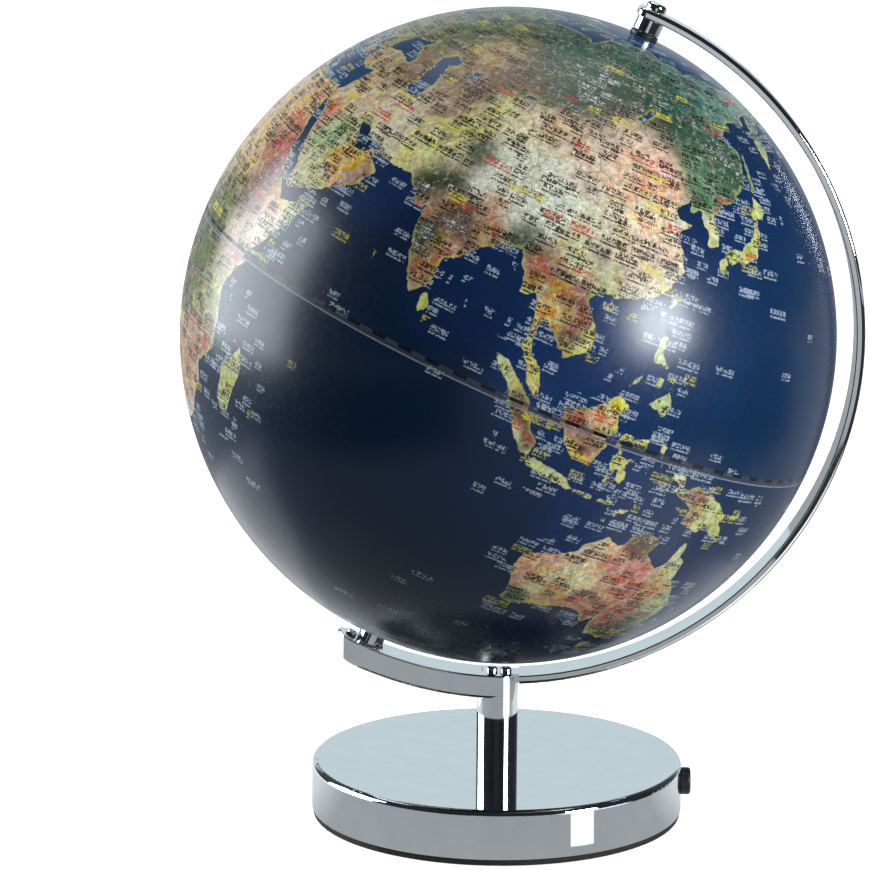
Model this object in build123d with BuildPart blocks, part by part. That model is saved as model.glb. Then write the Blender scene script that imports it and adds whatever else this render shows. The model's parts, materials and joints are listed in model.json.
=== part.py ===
from build123d import *
from math import cos, radians, sin, sqrt
import os

# Desktop globe on a chrome stand, modelled in millimetres.
# The origin is on the table under the middle of the round base, +Z is up, and the globe's axis
# leans towards +X in the XZ plane.  The meridian band, the arm and the post all lie in that plane.

# ---------------------------------------------------------------- driving dimensions
TILT = 23.5
GLOBE_R = 125.0
SHELL_T = 1.6
CENTRE_X = 2.8
CENTRE_Z = 188.3

BASE_R = 72.0
BASE_TOP = 21.3
BASE_WALL = 1.4
BASE_RIM_R = 2.2
PAD_T = 2.5
PLATE_T = 2.0
WEIGHT_R = 50.0
WEIGHT_LOW = BASE_TOP - 11.8
WEIGHT_POCKET = BASE_TOP - 6.4
WASHER_T = 1.2
NUT_T = 3.0
SCREW_PCR = 38.0
SCREW_L = 9.8

POST_R = 8.1
ARM_RI = 132.3
ARM_RO = 141.5
ARM_END_X = -62.0
ARM_CORNER_R = 2.5
GROOVE_W = 5.0
GROOVE_RO = 139.0
COVER_T = 0.8
COVER_W = 9.0

BAND_T = 3.4
BAND_W = 16.0
BAND_RO = ARM_RI + BAND_T
BAND_EDGE_R = 1.5
BAND_NORTH = -(180 - TILT) - 2.55
TONGUE_W = 10.0
TONGUE_END = 2.9
BAND_SCREW_ANGLES = (-0.22, 2.12)
LOCK_ANGLE = TILT + 3.3

COLLAR_R = 5.2
COLLAR_LOW = 126.9
PIN_R = 2.5
SPINDLE_R = 3.0
SPINDLE_BORE = 1.7
RUN_CLEAR = 0.05
SEAT_CLEAR = 0.02

LEAD_R = 0.85
LEAD_LOW = PAD_T + PLATE_T + 2.7
BORE_TOP = BASE_TOP + 22.0
INLET_Z = BASE_TOP - 8.8
INLET_R = 5.3

# ---------------------------------------------------------------- planes and axes
tilt = radians(TILT)
CENTRE = (CENTRE_X, 0, CENTRE_Z)
AXIS_DIR = (sin(tilt), 0, cos(tilt))
SPIN = Axis(CENTRE, AXIS_DIR)
# Half-plane through the globe's axis: local X runs out from the axis, local Y runs north.
MERIDIAN = Plane(origin=CENTRE, x_dir=(cos(tilt), 0, -sin(tilt)), z_dir=(0, -1, 0))
# Plane across the globe's axis at its centre, used for holes and small discs on the axis.
ACROSS = Plane(origin=CENTRE, x_dir=(cos(tilt), 0, -sin(tilt)), z_dir=AXIS_DIR)

os.makedirs("parts", exist_ok=True)


def at(radius, angle):
    """Point of the XZ plane at a radius from the globe's centre; the angle starts straight
    down and grows towards -X, so the south pole is at +TILT."""
    a = radians(angle)
    return (CENTRE_X - radius * sin(a), CENTRE_Z - radius * cos(a))


def below(radius, x):
    """Point of the XZ plane under the globe, at that x and that radius from its centre."""
    return (x, CENTRE_Z - sqrt(radius**2 - (x - CENTRE_X) ** 2))


def seat(radius, angle):
    """Plane on the arm's inner side at that place, its normal pointing at the globe's centre."""
    a = radians(angle)
    x, z = at(radius, angle)
    return Plane(origin=(x, 0, z), x_dir=(cos(a), 0, -sin(a)), z_dir=(sin(a), 0, cos(a)))


def round_long_edges(part, radius, edge_r):
    """Break a part's front and back edges that run round the globe at that radius."""
    arcs = part.edges().filter_by(GeomType.CIRCLE)
    long_arcs = arcs.filter_by(lambda e: abs(e.radius - radius) < 0.1 and abs(e.center().Y) > 7.5)
    fillet(long_arcs, edge_r)


def finish(part, name):
    """Label a finished piece and write it to its own file."""
    part.part.label = name
    export_step(part.part, "parts/" + name + ".step")


def ring_sector(r_in, r_out, start, end):
    """Closed outline, in the XZ plane, of a ring sector round the globe's centre."""
    middle = (start + end) / 2
    Line(at(r_in, start), at(r_out, start))
    ThreePointArc(at(r_out, start), at(r_out, middle), at(r_out, end))
    Line(at(r_out, end), at(r_in, end))
    ThreePointArc(at(r_in, end), at(r_in, middle), at(r_in, start))


def pan_screw(plane, head_r, head_h, shank_r, shank_l, slot_w):
    """Pan-head screw: the plane is the seat, and its normal points out of the head."""
    with BuildPart() as screw:
        with BuildSketch(plane):
            Circle(head_r)
        extrude(amount=head_h)
        fillet(screw.edges().sort_by(Axis(plane.origin, plane.z_dir))[-1], head_h * 0.62)
        with BuildSketch(plane):
            Circle(shank_r)
        extrude(amount=-shank_l)
        with BuildSketch(plane.offset(head_h)):
            Rectangle(slot_w * 4.2, slot_w)
            Rectangle(slot_w, slot_w * 4.2)
        extrude(amount=-head_h * 0.4, mode=Mode.SUBTRACT)
    return screw.part


# ================================================================ base
# Round chrome cover, pressed from sheet: flat top, small rim radius, open underneath.
with BuildPart() as base_cover:
    with BuildSketch(Plane.XY.offset(PAD_T)):
        Circle(BASE_R)
    extrude(amount=BASE_TOP - PAD_T)
    fillet(base_cover.edges().filter_by(GeomType.CIRCLE).sort_by(Axis.Z)[-1], BASE_RIM_R)
    offset(
        amount=-BASE_WALL,
        openings=base_cover.faces().filter_by(GeomType.PLANE).sort_by(Axis.Z)[0],
    )
    with BuildSketch(Plane.XY):
        Circle(5.0 + SEAT_CLEAR)
    extrude(amount=BASE_TOP + 5, mode=Mode.SUBTRACT)
    with BuildSketch(Plane.YZ.offset(BASE_R - 6)):
        with Locations((0, INLET_Z)):
            Circle(4.0 + SEAT_CLEAR)
    extrude(amount=12, mode=Mode.SUBTRACT)
finish(base_cover, "base_cover")

# Cast-iron disc under the cover's top; three legs stand on the bottom plate.
with BuildPart() as base_weight:
    with BuildSketch(Plane.XY.offset(WEIGHT_LOW)):
        Circle(WEIGHT_R)
    extrude(amount=BASE_TOP - BASE_WALL - WEIGHT_LOW)
    with BuildSketch(Plane.XY.offset(PAD_T + PLATE_T)):
        with PolarLocations(SCREW_PCR, 3, start_angle=60):
            Circle(6)
    extrude(amount=WEIGHT_LOW - PAD_T - PLATE_T + 1)
    with BuildSketch(Plane.XY):
        Circle(12)
    extrude(amount=WEIGHT_POCKET, mode=Mode.SUBTRACT)
    with BuildSketch(Plane.XY):
        Circle(5.0 + SEAT_CLEAR)
    extrude(amount=BASE_TOP, mode=Mode.SUBTRACT)
    with BuildSketch(Plane.XY):
        with PolarLocations(SCREW_PCR, 3, start_angle=60):
            Circle(1.6 + SEAT_CLEAR)
    extrude(amount=PAD_T + SCREW_L + 1, mode=Mode.SUBTRACT)
finish(base_weight, "base_weight")

# Flat bottom plate inside the cover's wall, countersunk for three screws.
with BuildPart() as base_plate:
    with BuildSketch(Plane.XY.offset(PAD_T)):
        Circle(BASE_R - BASE_WALL - 0.2)
    extrude(amount=PLATE_T)
    with Locations(Plane.XY.offset(PAD_T) * Rotation(180, 0, 0)):
        with PolarLocations(SCREW_PCR, 3, start_angle=-60):
            CounterSinkHole(radius=1.7, counter_sink_radius=3.3, depth=PLATE_T + 1)
finish(base_plate, "base_plate")

# Three countersunk screws, heads flush with the plate's underside.
with BuildPart() as base_screws:
    with BuildSketch(Plane.XZ):
        with BuildLine():
            Polyline(
                (SCREW_PCR, PAD_T + 0.1),
                (SCREW_PCR + 3.0, PAD_T + 0.1),
                (SCREW_PCR + 1.6, PAD_T + 1.6),
                (SCREW_PCR + 1.6, PAD_T + SCREW_L),
                (SCREW_PCR, PAD_T + SCREW_L),
                close=True,
            )
        make_face()
    revolve(axis=Axis((SCREW_PCR, 0, 0), (0, 0, 1)))
    with BuildSketch(Plane.XY.offset(PAD_T)):
        with Locations((SCREW_PCR, 0)):
            Rectangle(4.2, 0.7)
            Rectangle(0.7, 4.2)
    extrude(amount=0.7, mode=Mode.SUBTRACT)
screw_one = base_screws.part
with BuildPart() as base_screws:
    for turn in (60, 180, 300):
        add(screw_one.rotate(Axis.Z, turn))
finish(base_screws, "base_screws")

# Black soft pad glued under the plate and the cover's edge; it is what meets the table.
with BuildPart() as foot_pad:
    with BuildSketch():
        Circle(BASE_R - 0.5)
    extrude(amount=PAD_T)
    fillet(foot_pad.edges().sort_by(Axis.Z)[0], 0.3)
finish(foot_pad, "foot_pad")

# ================================================================ post and arm, one casting
with BuildPart() as stand_post:
    # arm: ring sector from its upright end to above the post's far side, both ends fully rounded
    with BuildSketch(Plane.XZ):
        with BuildLine():
            half = POST_R
            low_left = below(ARM_RO, ARM_END_X)
            low_right = below(ARM_RO, half)
            high_right = below(ARM_RI, half)
            high_left = below(ARM_RI, ARM_END_X)
            ThreePointArc(low_left, below(ARM_RO, -30), low_right)
            Line(low_right, high_right)
            ThreePointArc(high_right, below(ARM_RI, -30), high_left)
            Line(high_left, low_left)
        make_face()
    extrude(amount=POST_R, both=True)
    fillet(stand_post.edges().filter_by(Axis.Z), POST_R - 0.01)
    round_long_edges(stand_post, ARM_RO, 1.2)
    round_long_edges(stand_post, ARM_RI, 0.6)
    # lower corner of the arm's end, rounded as seen from the side
    with BuildSketch(Plane.XZ):
        with BuildLine():
            corner_x = ARM_END_X + ARM_CORNER_R
            corner = below(ARM_RO - ARM_CORNER_R, corner_x)
            on_end = (ARM_END_X, corner[1])
            arc_x = CENTRE_X + (corner_x - CENTRE_X) * ARM_RO / (ARM_RO - ARM_CORNER_R)
            on_arc = below(ARM_RO, arc_x)
            on_mid = (corner_x - ARM_CORNER_R * 0.86, corner[1] - ARM_CORNER_R * 0.51)
            ThreePointArc(on_end, on_mid, on_arc)
            Polyline(on_arc, (on_arc[0] - 1.2, on_arc[1] - 2.4), (ARM_END_X - 4, on_end[1]), on_end)
        make_face()
    extrude(amount=2 * POST_R, both=True, mode=Mode.SUBTRACT)
    # round post, from the base up into the arm
    with BuildSketch(Plane.XY.offset(BASE_TOP)):
        Circle(POST_R)
    extrude(amount=low_right[1] + 2.2 - BASE_TOP)
    # recess for the band's tongue on top of the post
    with BuildSketch(Plane.XZ):
        with BuildLine():
            ring_sector(ARM_RI - 1, BAND_RO, -4.5, TONGUE_END + 0.1)
        make_face()
    extrude(amount=TONGUE_W / 2 + SEAT_CLEAR, both=True, mode=Mode.SUBTRACT)
    # wiring groove along the arm, with a shallow step for its cover strip
    with BuildSketch(Plane.XZ):
        with BuildLine():
            ring_sector(ARM_RI - 1, GROOVE_RO, 4.6, TILT)
        make_face()
    extrude(amount=GROOVE_W / 2, both=True, mode=Mode.SUBTRACT)
    with BuildSketch(Plane.XZ):
        with BuildLine():
            ring_sector(ARM_RI - 1, ARM_RI + COVER_T, 3.7, TILT - 2.4)
        make_face()
    extrude(amount=COVER_W / 2 + SEAT_CLEAR, both=True, mode=Mode.SUBTRACT)
    # seat of the hollow south spindle
    with BuildSketch(seat(GROOVE_RO, TILT)):
        Circle(SPINDLE_R + SEAT_CLEAR)
    extrude(amount=8, mode=Mode.SUBTRACT)
    # threaded hole of the lock screw beyond the pole
    with BuildSketch(seat(138.9, LOCK_ANGLE)):
        Circle(1.2 + SEAT_CLEAR)
    extrude(amount=8, mode=Mode.SUBTRACT)
    # two threaded holes of the band screws
    for angle in BAND_SCREW_ANGLES:
        with BuildSketch(seat(138.0, angle)):
            Circle(1.25 + SEAT_CLEAR)
        extrude(amount=4, mode=Mode.SUBTRACT)
    # wiring bore: wide thread below, drilled bore above, slanted hole into the groove
    with BuildSketch(Plane.XY.offset(BASE_TOP)):
        Circle(5.0 + SEAT_CLEAR)
    extrude(amount=14, mode=Mode.SUBTRACT)
    with BuildSketch(Plane.XY.offset(BASE_TOP)):
        Circle(2.6)
    extrude(amount=BORE_TOP + 2 - BASE_TOP, mode=Mode.SUBTRACT)
    slant = Plane(origin=(0, 0, BORE_TOP), x_dir=(0, 1, 0), z_dir=(-10.2, 0, 9.0))
    with BuildSketch(slant):
        Circle(1.9)
    extrude(amount=14.2, mode=Mode.SUBTRACT)
finish(stand_post, "stand_post")

# Hollow threaded nipple that ties the post to the base, with its washer and hex nut.
with BuildPart() as post_nipple:
    with BuildSketch(Plane.XY.offset(BASE_TOP - 11.2)):
        Circle(5.0)
        Circle(3.2, mode=Mode.SUBTRACT)
    extrude(amount=24)
    chamfer(post_nipple.edges().filter_by(GeomType.CIRCLE).sort_by(SortBy.RADIUS)[-2:], 0.5)
finish(post_nipple, "post_nipple")

with BuildPart() as post_washer:
    with BuildSketch(Plane.XY.offset(WEIGHT_POCKET - WASHER_T)):
        Circle(10.5)
        Circle(5.0 + SEAT_CLEAR, mode=Mode.SUBTRACT)
    extrude(amount=WASHER_T)
finish(post_washer, "post_washer")

with BuildPart() as post_nut:
    with BuildSketch(Plane.XY.offset(WEIGHT_POCKET - WASHER_T - NUT_T)):
        RegularPolygon(8.5, 6, major_radius=False)
        Circle(5.0 + SEAT_CLEAR, mode=Mode.SUBTRACT)
    extrude(amount=NUT_T)
finish(post_nut, "post_nut")

# Thin chrome strip that closes the wiring groove, flush with the arm.
with BuildPart() as arm_cover:
    with BuildSketch(Plane.XZ):
        with BuildLine():
            ring_sector(ARM_RI, ARM_RI + COVER_T - SEAT_CLEAR, 3.8, TILT - 2.5)
        make_face()
    extrude(amount=COVER_W / 2, both=True)
finish(arm_cover, "arm_cover")

# ================================================================ meridian band
# Flat chrome bar bent to a half circle; a narrower tongue at its low end lies in the casting.
with BuildPart() as meridian_band:
    with BuildSketch(Plane.XZ):
        with BuildLine():
            ring_sector(ARM_RI, BAND_RO, -2.42, BAND_NORTH)
        make_face()
    extrude(amount=BAND_W / 2, both=True)
    end_edges = (
        meridian_band.edges()
        .filter_by(GeomType.LINE)
        .filter_by(lambda e: abs(e.tangent_at(0).Y) < 0.01 and e.center().Z > CENTRE_Z)
    )
    fillet(end_edges, 3.0)
    round_long_edges(meridian_band, ARM_RI, 0.5)
    round_long_edges(meridian_band, BAND_RO, BAND_EDGE_R)
    with BuildSketch(Plane.XZ):
        with BuildLine():
            ring_sector(ARM_RI, BAND_RO, TONGUE_END, -3.0)
        make_face()
    extrude(amount=TONGUE_W / 2, both=True)
    with BuildSketch(ACROSS.offset(ARM_RI - 3)):
        Circle(PIN_R + SEAT_CLEAR)
    extrude(amount=10, mode=Mode.SUBTRACT)
    for angle in BAND_SCREW_ANGLES:
        with BuildSketch(seat(138.0, angle)):
            Circle(1.25 + SEAT_CLEAR)
        extrude(amount=8, mode=Mode.SUBTRACT)
finish(meridian_band, "meridian_band")


# Two screws that hold the band on the post, and one beyond the south pole that locks the arm's fitting.
screw_pair = [
    pan_screw(seat(ARM_RI - 0.05, angle), 2.2, 1.8, 1.25, 5.4, 0.6) for angle in BAND_SCREW_ANGLES
]
with BuildPart() as band_screws:
    add(screw_pair)
finish(band_screws, "band_screws")

lock_screw = pan_screw(seat(ARM_RI - 0.05, LOCK_ANGLE), 2.1, 1.9, 1.2, 6.2, 0.6)
with BuildPart() as arm_lock_screw:
    add(lock_screw)
finish(arm_lock_screw, "arm_lock_screw")

# ================================================================ north bearing
# Shoulder pin: domed head outside the band, shank through the collar into the globe's bush.
with BuildPart() as north_pin:
    with BuildSketch(ACROSS.offset(116.5)):
        Circle(PIN_R)
    extrude(amount=BAND_RO + 0.1 - 116.5)
    with BuildSketch(ACROSS.offset(BAND_RO + 0.1)):
        Circle(3.9)
    extrude(amount=2.8)
    fillet(north_pin.edges().sort_by(SPIN)[-1], 1.6)
    chamfer(north_pin.edges().sort_by(SPIN)[0], 0.5)
finish(north_pin, "north_pin")

with BuildPart() as north_collar:
    with BuildSketch(ACROSS.offset(COLLAR_LOW)):
        Circle(COLLAR_R)
        Circle(PIN_R + SEAT_CLEAR, mode=Mode.SUBTRACT)
    extrude(amount=ARM_RI - 0.1 - COLLAR_LOW)
    fillet(
        north_collar.edges().filter_by(GeomType.CIRCLE).sort_by(SortBy.RADIUS)[-2:], 0.35
    )
finish(north_collar, "north_collar")

# Moulded bush in the shell's pole hole, with the nut that holds it from inside.
with BuildPart() as north_bush:
    with BuildSketch(ACROSS.offset(GLOBE_R)):
        Circle(5.4)
    extrude(amount=1.55)
    with BuildSketch(ACROSS.offset(119.4)):
        Circle(3.8)
    extrude(amount=GLOBE_R - 119.4)
    with BuildSketch(ACROSS.offset(118)):
        Circle(PIN_R + RUN_CLEAR)
    extrude(amount=12, mode=Mode.SUBTRACT)
    fillet(north_bush.edges().sort_by(SPIN)[-2:].sort_by(SortBy.RADIUS)[-1], 0.4)
finish(north_bush, "north_bush")

with BuildPart() as north_bush_nut:
    with BuildSketch(ACROSS.offset(120.6)):
        RegularPolygon(6.6, 6, major_radius=False)
        Circle(3.8 + SEAT_CLEAR, mode=Mode.SUBTRACT)
    extrude(amount=2.5)
finish(north_bush_nut, "north_bush_nut")

# ================================================================ south bearing
# Hollow threaded spindle fixed in the arm; the globe turns on it and the lead runs through it.
with BuildPart() as south_spindle:
    with BuildSketch(ACROSS.offset(-135.0)):
        Circle(SPINDLE_R)
        Circle(SPINDLE_BORE, mode=Mode.SUBTRACT)
    extrude(amount=135.0 - 97.0)
finish(south_spindle, "south_spindle")

# Round chrome lock nut that clamps the spindle on the arm.
with BuildPart() as south_collar:
    with BuildSketch(ACROSS.offset(-ARM_RI + 0.1)):
        Circle(COLLAR_R)
        Circle(SPINDLE_R + SEAT_CLEAR, mode=Mode.SUBTRACT)
    extrude(amount=ARM_RI - 0.1 - COLLAR_LOW)
    fillet(
        south_collar.edges().filter_by(GeomType.CIRCLE).sort_by(SortBy.RADIUS)[-2:], 0.35
    )
finish(south_collar, "south_collar")

with BuildPart() as south_bush:
    with BuildSketch(ACROSS.offset(-GLOBE_R - 1.55)):
        Circle(5.6)
    extrude(amount=1.55)
    with BuildSketch(ACROSS.offset(-GLOBE_R)):
        Circle(4.3)
    extrude(amount=GLOBE_R - 119.4)
    with BuildSketch(ACROSS.offset(-130)):
        Circle(SPINDLE_R + RUN_CLEAR)
    extrude(amount=12, mode=Mode.SUBTRACT)
finish(south_bush, "south_bush")

with BuildPart() as south_bush_nut:
    with BuildSketch(ACROSS.offset(-123.1)):
        RegularPolygon(7.2, 6, major_radius=False)
        Circle(4.3 + SEAT_CLEAR, mode=Mode.SUBTRACT)
    extrude(amount=2.5)
finish(south_bush_nut, "south_bush_nut")

# ================================================================ globe
# Two thin hemispheres that meet at the equator, each with a pole hole for its bush and a
# shallow step at the rim where the equator tape lies.
TAPE_HALF = 1.6
TAPE_DEEP = 0.3
for name, side, hole in (("globe_north_shell", 1, 3.85), ("globe_south_shell", -1, 4.35)):
    inner_r = GLOBE_R - SHELL_T
    step_r = GLOBE_R - TAPE_DEEP
    with BuildPart() as shell:
        with BuildSketch(MERIDIAN):
            with BuildLine():
                low = (inner_r, 0)
                rim = (step_r, 0)
                step = (step_r, side * TAPE_HALF)
                lip = (sqrt(GLOBE_R**2 - TAPE_HALF**2), side * TAPE_HALF)
                out_pole = (hole, side * sqrt(GLOBE_R**2 - hole**2))
                in_pole = (hole, side * sqrt(inner_r**2 - hole**2))
                half = sqrt(0.5)
                Line(low, rim)
                Line(rim, step)
                Line(step, lip)
                ThreePointArc(lip, (GLOBE_R * half, side * GLOBE_R * half), out_pole)
                Line(out_pole, in_pole)
                ThreePointArc(in_pole, (inner_r * half, side * inner_r * half), low)
            make_face()
        revolve(axis=SPIN)
    finish(shell, name)

# Hoop glued inside the joint of the two hemispheres.
with BuildPart() as equator_ring:
    with BuildSketch(MERIDIAN):
        with Locations((122.3, 0)):
            Rectangle(1.6, 9.0)
    revolve(axis=SPIN)
finish(equator_ring, "equator_ring")

# Printed tape that covers the joint, flush with the globe.
with BuildPart() as equator_tape:
    with BuildSketch(MERIDIAN):
        with Locations((GLOBE_R - TAPE_DEEP / 2 + 0.02, 0)):
            Rectangle(TAPE_DEEP, 2 * TAPE_HALF - 0.04)
    revolve(axis=SPIN)
finish(equator_tape, "equator_tape")

# ================================================================ lamp inside the globe
LAMP_LOW = -104.0
with BuildPart() as lamp_holder:
    with BuildSketch(MERIDIAN):
        with BuildLine():
            Polyline(
                (SPINDLE_R + SEAT_CLEAR, LAMP_LOW),
                (8, LAMP_LOW),
                (17, LAMP_LOW + 7),
                (17, LAMP_LOW + 11),
                (15.5, LAMP_LOW + 11),
                (15.5, LAMP_LOW + 8),
                (7, LAMP_LOW + 5),
                (SPINDLE_R + SEAT_CLEAR, LAMP_LOW + 5),
                close=True,
            )
        make_face()
    revolve(axis=SPIN)
finish(lamp_holder, "lamp_holder")

with BuildPart() as led_board:
    with BuildSketch(ACROSS.offset(LAMP_LOW + 9.0)):
        Circle(15.3)
    extrude(amount=1.6)
finish(led_board, "led_board")

with BuildPart() as led_chips:
    with BuildSketch(ACROSS.offset(LAMP_LOW + 10.6)):
        with PolarLocations(9.5, 6):
            Rectangle(3.5, 2.8)
    extrude(amount=0.8)
finish(led_chips, "led_chips")

# Frosted dome over the board.
with BuildPart() as lamp_diffuser:
    with BuildSketch(MERIDIAN):
        with BuildLine():
            top = LAMP_LOW + 11.1
            Line((0, top + 17), (0, top + 15.6))
            ThreePointArc((0, top + 15.6), (15.6 * sqrt(0.5), top + 15.6 * sqrt(0.5)), (15.6, top))
            Line((15.6, top), (17, top))
            ThreePointArc((17, top), (17 * sqrt(0.5), top + 17 * sqrt(0.5)), (0, top + 17))
        make_face()
    revolve(axis=SPIN)
finish(lamp_diffuser, "lamp_diffuser")

# ================================================================ power inlet and lead
# Round barrel socket on the base's side: flange outside, neck through the wall.
with BuildPart() as power_inlet:
    with BuildSketch(Plane.YZ.offset(BASE_R + 0.05)):
        with Locations((0, INLET_Z)):
            Circle(INLET_R)
    extrude(amount=3.6)
    fillet(power_inlet.edges().filter_by(GeomType.CIRCLE).sort_by(Axis.X)[-1], 1.0)
    with BuildSketch(Plane.YZ.offset(BASE_R - 9.0)):
        with Locations((0, INLET_Z)):
            Circle(4.0)
    extrude(amount=9.5)
    with BuildSketch(Plane.YZ.offset(BASE_R - 6.0)):
        with Locations((0, INLET_Z)):
            Circle(2.85)
    extrude(amount=12, mode=Mode.SUBTRACT)
    with BuildSketch(Plane.YZ.offset(BASE_R - 12.0)):
        with Locations((0, INLET_Z)):
            Circle(1.05)
    extrude(amount=8, mode=Mode.SUBTRACT)
finish(power_inlet, "power_inlet")

with BuildPart() as inlet_nut:
    with BuildSketch(Plane.YZ.offset(BASE_R - 4.4)):
        with Locations((0, INLET_Z)):
            RegularPolygon(5.4, 6, major_radius=False)
            Circle(4.0 + SEAT_CLEAR, mode=Mode.SUBTRACT)
    extrude(amount=2.4)
finish(inlet_nut, "inlet_nut")

# Centre contact of the socket, with its solder tail at the back.
with BuildPart() as inlet_pin:
    with BuildSketch(Plane.YZ.offset(BASE_R - 10.5)):
        with Locations((0, INLET_Z)):
            Circle(1.03)
    extrude(amount=12.3)
    fillet(inlet_pin.edges().sort_by(Axis.X)[-1], 0.6)
finish(inlet_pin, "inlet_pin")

# Thin two-core lead: from the socket under the weight, up the post, along the groove and
# through the spindle to the lamp.
route = [
    (BASE_R - 10.6, INLET_Z),
    (56.5, INLET_Z),
    (52.0, LEAD_LOW),
    (0, LEAD_LOW),
    (0, BORE_TOP),
    at(136.6, 5.46),
    at(137.0, 11.0),
    at(137.0, 17.5),
    at(137.4, TILT),
    at(96.0, TILT),
]
bends = [3.5, 3.5, 5.0, 4.0, 8.0, 40.0, 40.0, 3.2]
with BuildPart() as lamp_lead:
    with BuildLine(Plane.XZ) as lead_path:
        FilletPolyline(*route, radius=bends)
    with BuildSketch(Plane(origin=(BASE_R - 10.6, 0, INLET_Z), z_dir=(-1, 0, 0))):
        Circle(LEAD_R)
    sweep(path=lead_path.wire())
finish(lamp_lead, "lamp_lead")
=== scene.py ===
"""Look of the illuminated desk globe, built round its CAD frame.

The CAD pieces get procedural materials. The ball's two shells and the strip over their joint are
made anew, dense enough to carry the printed map. Lengths are in metres, angles in degrees.
"""
import json
import math

import bpy
import numpy as np
from mathutils import Matrix, Vector


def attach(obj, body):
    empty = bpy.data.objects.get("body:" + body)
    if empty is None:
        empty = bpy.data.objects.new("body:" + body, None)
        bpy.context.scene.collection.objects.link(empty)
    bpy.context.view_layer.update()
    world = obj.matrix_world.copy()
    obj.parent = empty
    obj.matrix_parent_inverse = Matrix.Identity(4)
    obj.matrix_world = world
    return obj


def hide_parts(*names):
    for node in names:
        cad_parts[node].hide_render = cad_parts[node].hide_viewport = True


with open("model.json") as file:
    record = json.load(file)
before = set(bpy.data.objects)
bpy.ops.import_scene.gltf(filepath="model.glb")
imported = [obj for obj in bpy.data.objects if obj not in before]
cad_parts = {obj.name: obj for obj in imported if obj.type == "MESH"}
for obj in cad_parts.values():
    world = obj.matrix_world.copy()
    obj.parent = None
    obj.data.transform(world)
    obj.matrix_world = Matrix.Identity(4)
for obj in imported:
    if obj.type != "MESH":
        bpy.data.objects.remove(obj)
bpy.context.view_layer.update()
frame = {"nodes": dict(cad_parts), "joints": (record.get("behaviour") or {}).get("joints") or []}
nodes = frame["nodes"]
joint = frame["joints"][0]
CENTRE = Vector(joint["pos_m"])
AXIS = Vector(joint["axis"]).normalized()
GLOBE_R = 0.125

# ------------------------------------------------------------------ camera
LENS = 162.0
SENSOR = 36.0
CAMERA_ELEVATION = 10.3
CAMERA_DISTANCE = 1.495
CAMERA_PAN = 1.065
CAMERA_PITCH = -1.45
CAMERA_ROLL = 0.52
elevation = math.radians(CAMERA_ELEVATION)
back = Vector((0.0, -math.cos(elevation), math.sin(elevation)))
cam_data = bpy.data.cameras.new("camera")
cam_data.lens = LENS
cam_data.sensor_width = SENSOR
cam_data.clip_end = 20.0
cam = bpy.data.objects.new("camera", cam_data)
bpy.context.scene.collection.objects.link(cam)
aim = (-back).to_track_quat("-Z", "Y").to_matrix().to_4x4()
pan = Matrix.Rotation(math.radians(CAMERA_PAN), 4, "Y")
pitch = Matrix.Rotation(math.radians(CAMERA_PITCH), 4, "X")
roll = Matrix.Rotation(math.radians(CAMERA_ROLL), 4, "Z")
cam.matrix_world = Matrix.Translation(CENTRE + back * CAMERA_DISTANCE) @ aim @ roll @ pan @ pitch
bpy.context.scene.camera = cam
bpy.context.scene.view_settings.view_transform = "Standard"


# ------------------------------------------------------------------ materials
def new_material(name):
    mat = bpy.data.materials.new(name)
    mat.use_nodes = True
    tree = mat.node_tree
    bsdf = tree.nodes["Principled BSDF"]
    return mat, tree, bsdf


def node(tree, kind, **props):
    n = tree.nodes.new(kind)
    for key, value in props.items():
        setattr(n, key, value)
    return n


def plug(tree, socket, value):
    """Link a node's output to the socket, or set a plain value on it."""
    if isinstance(value, bpy.types.NodeSocket):
        tree.links.new(value, socket)
    else:
        socket.default_value = value


def noise(tree, scale, detail=3.0, rough=0.5):
    n = node(tree, "ShaderNodeTexNoise")
    n.inputs["Scale"].default_value = scale
    n.inputs["Detail"].default_value = detail
    n.inputs["Roughness"].default_value = rough
    tree.links.new(node(tree, "ShaderNodeTexCoord").outputs["Object"], n.inputs["Vector"])
    return n.outputs["Fac"]


def spread(tree, value, low, high, to_low, to_high):
    """The value's range from low to high, stretched over another range."""
    n = node(tree, "ShaderNodeMapRange")
    n.inputs["From Min"].default_value = low
    n.inputs["From Max"].default_value = high
    n.inputs["To Min"].default_value = to_low
    n.inputs["To Max"].default_value = to_high
    tree.links.new(value, n.inputs["Value"])
    return n.outputs["Result"]


def bump(tree, value, strength, distance, bsdf):
    n = node(tree, "ShaderNodeBump")
    n.inputs["Strength"].default_value = strength
    n.inputs["Distance"].default_value = distance
    tree.links.new(value, n.inputs["Height"])
    tree.links.new(n.outputs["Normal"], bsdf.inputs["Normal"])


def ramp(tree, value, stops):
    """Colour that runs through the stops, each a place from 0 to 1 and a linear colour."""
    n = node(tree, "ShaderNodeValToRGB")
    while len(n.color_ramp.elements) < len(stops):
        n.color_ramp.elements.new(0.5)
    for el, (pos, col) in zip(n.color_ramp.elements, stops):
        el.position = pos
        el.color = (*col, 1.0)
    tree.links.new(value, n.inputs["Fac"])
    return n.outputs["Color"]


def metal(name, dark, light, rough_low, rough_high, scale=120.0, bump_size=0.0):
    """Metal whose tone and roughness vary a little over its surface."""
    mat, tree, bsdf = new_material(name)
    bsdf.inputs["Metallic"].default_value = 1.0
    wear = noise(tree, scale, 4.0, 0.6)
    tree.links.new(ramp(tree, wear, [(0.3, dark), (0.7, light)]), bsdf.inputs["Base Color"])
    fine = noise(tree, scale * 4, 3.0, 0.7)
    tree.links.new(spread(tree, fine, 0.3, 0.7, rough_low, rough_high), bsdf.inputs["Roughness"])
    if bump_size:
        bump(tree, fine, 0.4, bump_size, bsdf)
    return mat


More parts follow.
